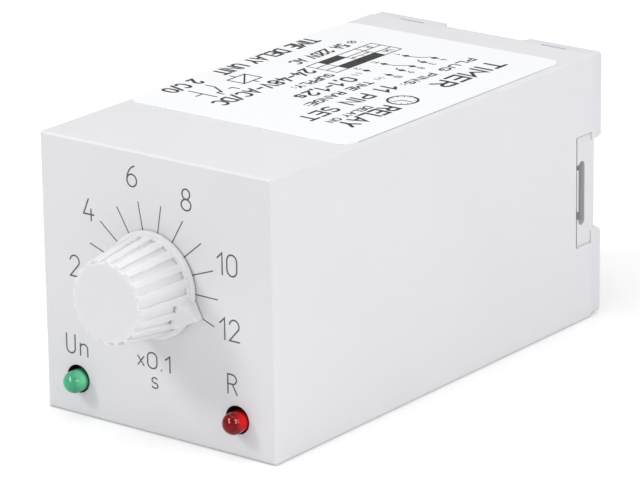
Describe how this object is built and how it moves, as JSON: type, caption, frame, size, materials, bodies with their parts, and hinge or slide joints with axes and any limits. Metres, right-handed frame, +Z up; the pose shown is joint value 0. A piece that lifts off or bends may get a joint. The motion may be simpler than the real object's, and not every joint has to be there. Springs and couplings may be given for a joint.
{
  "type": "plug-in time relay",
  "caption": "Plug-in electronic time relay: light grey square housing with a ribbed dial knob, two indicator lamps, a top label and a round plug on the back.",
  "frame": {"origin": "centre of the plug's pin circle on the rear seating plane", "axes": "+Y out of the rear, the way the pins point; +Z up; +X to the right seen from the front"},
  "size_m": [0.0382, 0.0954, 0.0381],
  "materials": {
    "light_grey_plastic": "fine satin moulded",
    "base_grey_plastic": "satin moulded, slightly cooler grey",
    "knob_plastic": "semi-gloss moulded",
    "label_film": "satin printed film",
    "pin_metal": "nickel-plated brass, satin",
    "solder": "dull tin solder",
    "circuit_board": "green solder mask",
    "tinned_wire": "tinned",
    "black_plastic": "moulded",
    "carbon_track": "phenolic with a carbon track",
    "sheet_steel": "zinc plated",
    "white_plastic": "moulded",
    "spring_brass": "spring strip",
    "spring_steel": "spring strip",
    "green_lens": "diffused green epoxy",
    "red_lens": "diffused red epoxy",
    "relay_cover_plastic": "moulded cover",
    "relay_iron": "nickel-plated soft iron",
    "coil_wire": "enamelled copper",
    "pusher_plastic": "moulded",
    "contact_silver": "silver alloy",
    "capacitor_sleeve": "shrink sleeve",
    "rubber_bung": "moulded rubber",
    "film_capacitor_case": "epoxy filled box",
    "resistor_lacquer": "lacquer",
    "varistor_lacquer": "dipped lacquer",
    "trimmer_case": "moulded"
  },
  "bodies": {
    "case": {"housing": "light_grey_plastic", "label": "label_film", "base": "base_grey_plastic", "plug_pins": "pin_metal", "pin_solder": "solder", "base_board": "circuit_board", "main_board": "circuit_board", "board_link": "tinned_wire", "control_board": "circuit_board", "control_link": "tinned_wire", "pot_body": "black_plastic", "pot_track": "carbon_track", "pot_cover": "sheet_steel", "pot_terminals": "tinned_wire", "led_green": "green_lens", "led_red": "red_lens", "led_leads": "tinned_wire", "led_spacers": "black_plastic", "relay_base": "black_plastic", "relay_cover": "relay_cover_plastic", "relay_yoke": "relay_iron", "relay_core": "relay_iron", "relay_bobbin": "white_plastic", "relay_coil": "coil_wire", "relay_coil_pins": "tinned_wire", "relay_hinge_clip": "spring_steel", "relay_common_blades": "spring_brass", "relay_nc_blades": "spring_brass", "relay_no_blades": "spring_brass", "filter_capacitor": "capacitor_sleeve", "capacitor_seal": "rubber_bung", "timing_capacitor": "film_capacitor_case", "bridge_rectifier": "black_plastic", "timer_ic": "black_plastic", "chip_legs": "tinned_wire", "transistors": "black_plastic", "diodes": "black_plastic", "resistors": "resistor_lacquer", "varistor": "varistor_lacquer", "trimmer_body": "trimmer_case", "component_leads": "tinned_wire"},
    "dial": {"knob": "knob_plastic", "knob_spring": "spring_steel", "pot_rotor": "white_plastic", "pot_wiper": "spring_brass"},
    "armature": {"relay_armature": "relay_iron", "relay_pusher": "pusher_plastic"},
    "contact_springs": {"relay_springs": "spring_brass", "relay_buttons": "contact_silver"},
    "trimmer_screw": {"trimmer_rotor": "white_plastic"}
  },
  "joints": [
    {"name": "dial_turn", "type": "hinge", "parent": "case", "child": "dial", "pos_m": [-0.0005, 0, 0.00165], "axis": [0, 1, 0], "range_deg": [-245.6, 24.4]},
    {"name": "armature_close", "type": "hinge", "parent": "case", "child": "armature", "pos_m": [-0.0085, -0.0199, -0.0028], "axis": [1, 0, 0], "range_deg": [0, 4.5]},
    {"name": "contact_springs_move", "type": "hinge", "parent": "case", "child": "contact_springs", "pos_m": [-0.0085, -0.01648, -0.0131], "axis": [1, 0, 0], "range_deg": [-5.6, 0.1]},
    {"name": "trimmer_turn", "type": "hinge", "parent": "case", "child": "trimmer_screw", "pos_m": [0.0113, -0.0489, -0.0126], "axis": [0, 0, 1], "range_deg": [-105, 105]}
  ],
  "couplings": [
    {"joint": "contact_springs_move", "follows": "armature_close", "ratio": -1.21}
  ]
}
